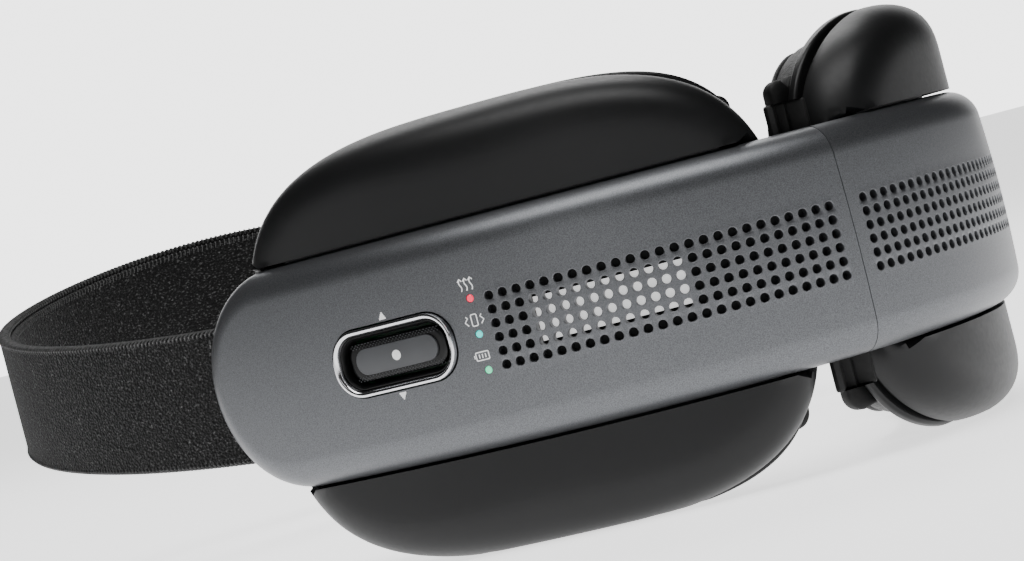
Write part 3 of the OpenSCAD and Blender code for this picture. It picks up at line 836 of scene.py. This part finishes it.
heat_sign = []
for x in (-1.05, 0, 1.05):
    heat_sign.append(wave(x, 2.1, 0.2))
    heat_sign.append([(x - 0.42, 0.72), (x, 1.2), (x + 0.42, 0.72)])
vibration_sign = [closed_line(rounded(1.1, 2.1, 0.25, 3))]
for side in (-1, 1):
    vibration_sign.append([(side * (1.25 + 0.3 * abs(((i + 1) % 4) - 2)), 0.85 - 0.34 * i) for i in range(6)])
battery_sign = [closed_line(rounded(2.5, 1.45, 0.15, 2)), [(-1.55, -0.3), (-1.55, 0.3)]]
battery_sign += [[(x, -0.36), (x, 0.36)] for x in (-0.6, 0, 0.6)]
for word, sign, s0, z0 in (("heat", heat_sign, 70.8, 9.0), ("vibration", vibration_sign, 70.8, 2.6),
                           ("battery", battery_sign, 71.0, -3.85)):
    printed("sign_" + word, [shifted(line, s0, z0) for line in sign])
for word, s0, z0, up in (("up", BUTTON_S + 0.3, 7.45, 1), ("down", BUTTON_S + 0.1, -7.6, -1)):
    # four strokes, each shorter than the one before, fill the triangle
    strokes = []
    for k, w in enumerate((1.0, 0.74, 0.48, 0.2)):
        level = z0 - up * (0.62 - 0.32 * k)
        strokes.append([(s0 - w * 0.72, level), (s0 + w * 0.72, level)])
    printed("sign_" + word, strokes, 0.36)


# ---------------------------------------------------------------- pods, gaskets and frames
def oval(t, a, b, n, cs=0.0, cz=0.0):
    """Point of a superellipse with half-axes a and b and squareness n."""
    c, s = math.cos(t), math.sin(t)
    return (cs + a * math.copysign(abs(c) ** (2 / n), c), cz + b * math.copysign(abs(s) ** (2 / n), s))


FACE_D = 4.6
TURN_IN = 12.0
POD_STEPS = 260


def pod_depth(q):
    """Depth of a pod's skin at inset q: from its rim, round the turn-in, to its flat face."""
    return RIM_DEPTH - (RIM_DEPTH - FACE_D) * math.sqrt(max(0.0, 1 - (1 - min(q, TURN_IN) / TURN_IN) ** 3))


def even_oval(count, a, b, n):
    """Points of a superellipse at even steps along its outline."""
    raw = [oval(2 * math.pi * i / 4000, a, b, n) for i in range(4001)]
    length = [0.0]
    for p, q in zip(raw, raw[1:]):
        length.append(length[-1] + math.dist(p, q))
    return [(float(np.interp(length[-1] * i / count, length, [p[0] for p in raw])),
             float(np.interp(length[-1] * i / count, length, [p[1] for p in raw]))) for i in range(count)]


def pod_point(p, inset, d, side):
    """An outline point moved in by an inset; within the band's height it stays behind the band."""
    far = math.hypot(*p)
    stop = far * (1 - (BAND_H / 2 + 0.45) / max(abs(p[1]), 1))
    q = min(inset, max(stop, 5))
    f = 1 - q / far
    z = max(p[1] * f, -EYE_LINE)
    inside = 1 - smooth(BAND_H / 2 + 0.2, BAND_H / 2 + 0.5, abs(z))
    return place(POD_MID + p[0] * f, z, max(d, (BAND_DEPTH + 0.5) * inside), side)


def pod_shell(name, side):
    outline = even_oval(POD_STEPS, POD_LEN / 2, POD_H / 2, POD_SQUARE)
    insets = [0, 0.08, 0.2, 0.4, 0.7, 1.1, 1.6, 2.3, 3.2, 4.2, 5.4, 6.8, 8.4, 10, TURN_IN, 15, 18, 30]
    sections = []
    for p in outline:
        ring = [pod_point(p, q, pod_depth(q), side) for q in insets]
        for q in reversed(insets):
            wall = (1 - min(q, TURN_IN) / TURN_IN) ** 1.5
            ring.append(pod_point(p, q + POD_T * wall, pod_depth(q) + POD_T * (1 - wall), side))
        sections.append(ring)
    return loft(name, sections, MAT["pod_plastic"], None, closed=True, sharp=50)


def pod_ring(name, profile, square, side, material):
    """A ring round a pod; profile is a closed list of (inset, depth)."""
    sections = []
    for p in even_oval(POD_STEPS, POD_LEN / 2, POD_H / 2, square):
        ring = []
        for inset, d in profile:
            fa, fb = 1 - inset / (POD_LEN / 2), 1 - inset / (POD_H / 2)
            ring.append(place(POD_MID + p[0] * fa, max(p[1] * fb, -EYE_LINE), d, side))
        sections.append(ring)
    return loft(name, sections, material, None, closed=True, sharp=50)


def softened(w0, w1, d0, d1, r, steps=5):
    """Closed section from inset w0 to w1 and depth d0 to d1 with rounded outer corners."""
    out = []
    for i in range(steps + 1):
        a = math.radians(90 * i / steps)
        out.append((w0 + r * (1 - math.sin(a)), d0 + r * (1 - math.cos(a))))
    for i in range(steps + 1):
        a = math.radians(90 * i / steps)
        out.append((w0 + r * (1 - math.cos(a)), d1 - r * (1 - math.sin(a))))
    return out + [(w1, d1), (w1, d0)]


for word, side in SIDES:
    shell = pod_shell("pod_shell_piece_" + word, side)
    gasket = pod_ring("gasket_piece_" + word, [(0.75, RIM_DEPTH + 0.02), (0.7, RIM_DEPTH + 0.3),
                      (0.7, FRAME_DEPTH - 0.3), (0.75, FRAME_DEPTH - 0.02), (3.4, FRAME_DEPTH - 0.02),
                      (3.4, RIM_DEPTH + 0.02)], POD_SQUARE, side, MAT["soft_rubber"])
    rim = pod_ring("frame_piece_" + word, softened(0.0, 12.0, FRAME_DEPTH, CUSHION_DEPTH, 0.7), 3.6, side,
                   MAT["frame_plastic"])
    for piece, node, slot in ((shell, "pod_shell_", "pod_plastic"), (gasket, "rim_gasket_", "soft_rubber"),
                              (rim, "cushion_frame_", "frame_plastic")):
        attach(piece, word + "_half")
        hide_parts(node + word)


# ---------------------------------------------------------------- strap
def heading(i):
    """Direction of the strap at station i, in radians: along the side first, then across the back."""
    return math.radians(72.8 + 107.2 * (min(i, STRAP_N) / STRAP_N) ** 1.707)


ROOT = place(ANCHOR_S, 0, ANCHOR_D)
STRAP_RAW = [(0.0, 0.0)]
for i in range(STRAP_N):
    a = heading(i + 0.5)
    STRAP_RAW.append((STRAP_RAW[-1][0] + math.cos(a), STRAP_RAW[-1][1] + math.sin(a)))
STRAP_FIT = -ROOT.x / STRAP_RAW[STRAP_N][0]
STRAP_STEP = STRAP_HALF / STRAP_N


def strap_at(t):
    """Centre, outward direction and heading at station t: 0 on the right half, 120 on the left."""
    side, i = (1, t) if t <= STRAP_N else (-1, 2 * STRAP_N - t)
    q = min(int(i), STRAP_N - 1)
    rx = STRAP_RAW[q][0] + (STRAP_RAW[q + 1][0] - STRAP_RAW[q][0]) * (i - q)
    ry = STRAP_RAW[q][1] + (STRAP_RAW[q + 1][1] - STRAP_RAW[q][1]) * (i - q)
    rise = 1.2 * (i / STRAP_N) ** 1.5 - 0.2 * (i / STRAP_N) ** 9
    a = heading(i)
    centre = Vector((side * (ROOT.x + STRAP_FIT * rx), ROOT.y + STRAP_STEP * ry,
                     STRAP_Z0 + STRAP_RISE * rise))
    return centre, Vector((side * math.sin(a), -math.cos(a), 0)), side * a


def band_sections(t0, t1, width, thick, offset, count):
    """Rounded flat sections of a strap layer, offset outwards from the strap's centre."""
    out = []
    for k in range(count + 1):
        centre, n, _ = strap_at(t0 + (t1 - t0) * k / count)
        out.append([centre + n * (offset + x) + Vector((0, 0, z))
                    for x, z in rounded(thick, width, min(thick / 2 - 0.05, 0.9), 4)])
    return out


def whip_stitch(t0, t1, edge, thick, offset, radius=0.2, pitch=1.25):
    """Thread wound round an edge of the strap at height `edge` from its middle."""
    turns = (t1 - t0) * STRAP_STEP / pitch
    steps = int(turns * 10)
    line = []
    for k in range(steps + 1):
        centre, n, _ = strap_at(t0 + (t1 - t0) * k / steps)
        a = 2 * math.pi * turns * k / steps
        line.append(centre + n * (offset + (thick / 2 + 0.12) * math.cos(a))
                    + Vector((0, 0, edge + math.copysign(0.75, edge) * (math.sin(a) - 0.75))))
    return tube(line, radius, 5, Vector((0, 0, 1)))


def on_strap(obj):
    """Bakes a strap piece's placement into its mesh and hides the CAD strap."""
    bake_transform(obj)
    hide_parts("strap")


T0 = (LOOP_R + 0.1) / STRAP_STEP
LAYER = (15.5, 92.0)       # stations between which the strap is doubled on its inside
LAYER_W = STRAP_W - 2.6
LAYER_T = 1.1
LAYER_OFF = -STRAP_T / 2 - 0.65
on_strap(loft("strap_web", band_sections(T0, 2 * STRAP_N - T0, STRAP_W, STRAP_T, 0, 480),
              MAT["strap_elastic"], None))
on_strap(loft("strap_inner_layer", band_sections(*LAYER, LAYER_W, LAYER_T, LAYER_OFF, 320),
              MAT["strap_elastic"], None))
for word, edge in (("top", STRAP_W / 2 - 0.1), ("bottom", -STRAP_W / 2 + 0.1)):
    on_strap(loft("strap_stitch_" + word, whip_stitch(4, 2 * STRAP_N - 4, edge, STRAP_T, 0), THREAD, None))
on_strap(loft("strap_stitch_inner", whip_stitch(*LAYER, STRAP_W / 2 - 1.4, LAYER_T, LAYER_OFF, 0.15),
              THREAD, None))

# ---------------------------------------------------------------- slider
SLIDER_STATION = 10
SLIDER_HOLE_HALF = 2.3
SLIDER_TAPER = 0.28        # the buckle's height narrows by this share of what its width does
centre, _, angle = strap_at(SLIDER_STATION)
SLIDER = Matrix.Translation(centre) @ Matrix.Rotation(angle, 4, "Z")
rim = rounded(9, STRAP_W + 6, 1.6, 6)
buckle_profile = [(-3, 0.9), (-2.75, 0.97), (-2.3, 1), (2.3, 1), (2.75, 0.97), (3, 0.9)]
buckle = [[SLIDER @ Vector((x * q, y, z * (1 - (1 - q) * SLIDER_TAPER))) for x, z in rim]
          for y, q in buckle_profile]
slider = loft("slider_buckle", buckle, MAT["button_black"], None)
half = STRAP_W / 2 + 1.8
cut(slider, [(box_outline(-10, 10, -half, half), SLIDER, -SLIDER_HOLE_HALF, SLIDER_HOLE_HALF)])
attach(slider, "strap_slider")
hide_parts("strap_slider")

# ---------------------------------------------------------------- bridge over the nose
def inset_outline(points, q):
    """A closed outline moved inwards by q, point by point."""
    area = sum(a[0] * b[1] - b[0] * a[1] for a, b in zip(points, points[1:] + points[:1]))
    out = []
    for k, p in enumerate(points):
        a, b = points[k - 1], points[(k + 1) % len(points)]
        dx, dz = b[0] - a[0], b[1] - a[1]
        long = math.hypot(dx, dz) or 1
        sign = 1 if area > 0 else -1
        out.append((p[0] - sign * dz / long * q, p[1] + sign * dx / long * q))
    return out


def arc(cx, cz, r, a0, a1, count=8):
    """Points of an arc round (cx, cz), from angle a0 to a1 in degrees."""
    return [(cx + r * math.cos(math.radians(a0 + (a1 - a0) * i / count)),
             cz + r * math.sin(math.radians(a0 + (a1 - a0) * i / count))) for i in range(count + 1)]


# outline of a nose pad, clockwise from its inner edge's foot
lobe = [(4.4, z) for z in (-22, -14, 0, 14, 22)] + arc(6.8, 27.9, 2.4, 180, 75)
lobe += [(8.5, 29.0)] + arc(10.2, 28.2, 2.4, 110, 0)
lobe += [(11.9, 21), (10.8, 13), (10.6, 6), (10.6, -6), (10.8, -13)]
lobe += arc(9.4, -28, 3.2, 0, -90) + arc(7.6, -28.4, 3.2, -90, -180)
for word, side in SIDES:
    sections = [[(side * x, y, z) for x, z in inset_outline(lobe, q)]
                for q, y in ((1.2, 21.3), (0.5, 21.42), (0.12, 21.75), (0, 22.2), (0, 23.8), (0.15, 24.3),
                             (0.55, 24.68), (1.2, 24.8))]
    piece = loft("nose_pad_" + word, sections, MAT["soft_rubber"], word + "_half", sharp=50)
    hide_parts("nose_lobe_" + word)

def divided(line, count):
    """A line of (x, y) points with each stretch cut into a number of equal steps."""
    out = []
    for a, b in zip(line, line[1:]):
        out += [(a[0] + (b[0] - a[0]) * k / count, a[1] + (b[1] - a[1]) * k / count) for k in range(count)]
    return out + [line[-1]]


fold = [(-3.4, 10.5), (-1.2, 12.9), (0, 11.8), (1.2, 12.9), (3.4, 10.5), (4.2, 11), (4.2, 12.2),
        (1.2, 14.8), (0, 13.6), (-1.2, 14.8), (-4.2, 12.2), (-4.2, 11)]
fine = divided(fold + fold[:1], 4)[:-1]
boot_profile = [(0.35, -26.5), (0.1, -26.35), (0, -26.0), (0, -13), (0, 0), (0, 13), (0, 25.5), (0.1, 25.85),
                (0.35, 26)]
boot = loft("bridge_bellows", [[(x, y, z) for x, y in inset_outline(fine, q)] for q, z in boot_profile],
            MAT["soft_rubber"], None, sharp=60)
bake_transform(boot)
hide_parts("bridge_boot")
cable = [(-11, 7.6), (-3, 7.2), (0, 8.6), (3, 7.2), (11, 7.6)]
path = divided(cable, 6)
ribbon = loft("ribbon_piece", [[(x, y, -3), (x, y + 0.3, -3), (x, y + 0.3, 3), (x, y, 3)] for x, y in path],
              MAT["heater_film"], None)
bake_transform(ribbon)
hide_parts("ribbon_cable")


# ---------------------------------------------------------------- face cushions
CUSHION_STEPS = 120
# across the ring: place from outside 1 to inside 0, share of the height, roundness
CUSHION_SECTION = [
    (1, 0.0, 0), (1.0, 0.25, 0), (0.985, 0.5, 0), (0.955, 0.72, 0), (0.89, 0.87, 0), (0.78, 0.95, 0.1),
    (0.64, 0.97, 0.2), (0.48, 0.95, 0.45), (0.33, 0.87, 0.7), (0.2, 0.7, 0.9), (0.1, 0.45, 1), (0.04, 0.2, 1),
    (0.03, 0.0, 1), (0.25, 0.0, 0.8), (0.5, 0.0, 0.4), (0.75, 0.0, 0.1)]
GLUED = (0, 12, 13, 14, 15)     # places of the section that lie on the frame and stay put
SWELL_CAP = 1.1


def cushion_points():
    """Sections of the right cushion, one for each step round the eye."""
    rings = []
    for k in range(CUSHION_STEPS):
        t = 2 * math.pi * k / CUSHION_STEPS
        ring = []
        for q, h, n in CUSHION_SECTION:
            a, b, mid = 25 + 28 * q, 16 + 21 * q, 58 + 14 * q
            x, z = oval(t, a, b, 3.4 - 1.2 * n, mid, 0)
            ring.append(place(x, z, CUSHION_DEPTH + 0.15 + (CUSHION_T - 0.6) * h))
        rings.append(ring)
    return rings


def swell(obj, fixed, cap):
    """Blows the piece up as cloth, then lets no point move further than the cap."""
    start = [v.co.copy() for v in obj.data.vertices]
    group = obj.vertex_groups.new(name="pinned")
    group.add(fixed, 1.0, "REPLACE")
    mod = obj.modifiers.new("cloth", "CLOTH")
    mod.settings.use_pressure = True
    mod.settings.uniform_pressure_force = 4
    mod.settings.vertex_group_mass = "pinned"
    mod.settings.tension_stiffness = 12
    mod.settings.compression_stiffness = 12
    mod.settings.bending_stiffness = 0.4
    mod.settings.quality = 6
    mod.settings.effector_weights.gravity = 0
    scene = bpy.context.scene
    for f in range(1, 21):
        scene.frame_set(f)
    deps = bpy.context.evaluated_depsgraph_get()
    mesh = bpy.data.meshes.new_from_object(obj.evaluated_get(deps))
    obj.modifiers.clear()
    obj.vertex_groups.clear()
    for v, w in zip(mesh.vertices, start):
        move = v.co - w
        v.co = w + move * min(1, cap / max(move.length, 1e-9))
    obj.data = mesh
    scene.frame_set(1)


rings = cushion_points()
per = len(rings[0])
puffed = loft("cushion_right", rings, MAT["cushion_leather"], None, closed=True, sharp=180)
swell(puffed, [v.index for v in puffed.data.vertices if v.index % per in GLUED], SWELL_CAP * MM)
shape = [(v.co - SEAM) / MM for v in puffed.data.vertices]
for word, side in SIDES:
    if side > 0:
        pad = puffed
    else:
        pad = make("cushion_left", [(-p.x, p.y, p.z) for p in shape], ring_faces(CUSHION_STEPS, per),
                   MAT["cushion_leather"], None, sharp=180)
    mod = pad.modifiers.new("smooth", "SUBSURF")
    mod.levels = mod.render_levels = 1
    apply_modifiers(pad)
    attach(pad, word + "_half")
    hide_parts("face_cushion_" + word)
    for label, ring, r in (("outer", 4, 0.55), ("inner", 9, 0.45)):
        line = [Vector((side * p.x, p.y, p.z)) for p in shape[ring::per]]
        sections = tube(line, r, 8, Vector((0.1, 1, 0)), closed=True)
        seam = loft("cushion_piping_%s_%s" % (label, word), sections, MAT["cushion_leather"], word + "_half",
                    closed=True, sharp=180)
        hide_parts("face_cushion_" + word)
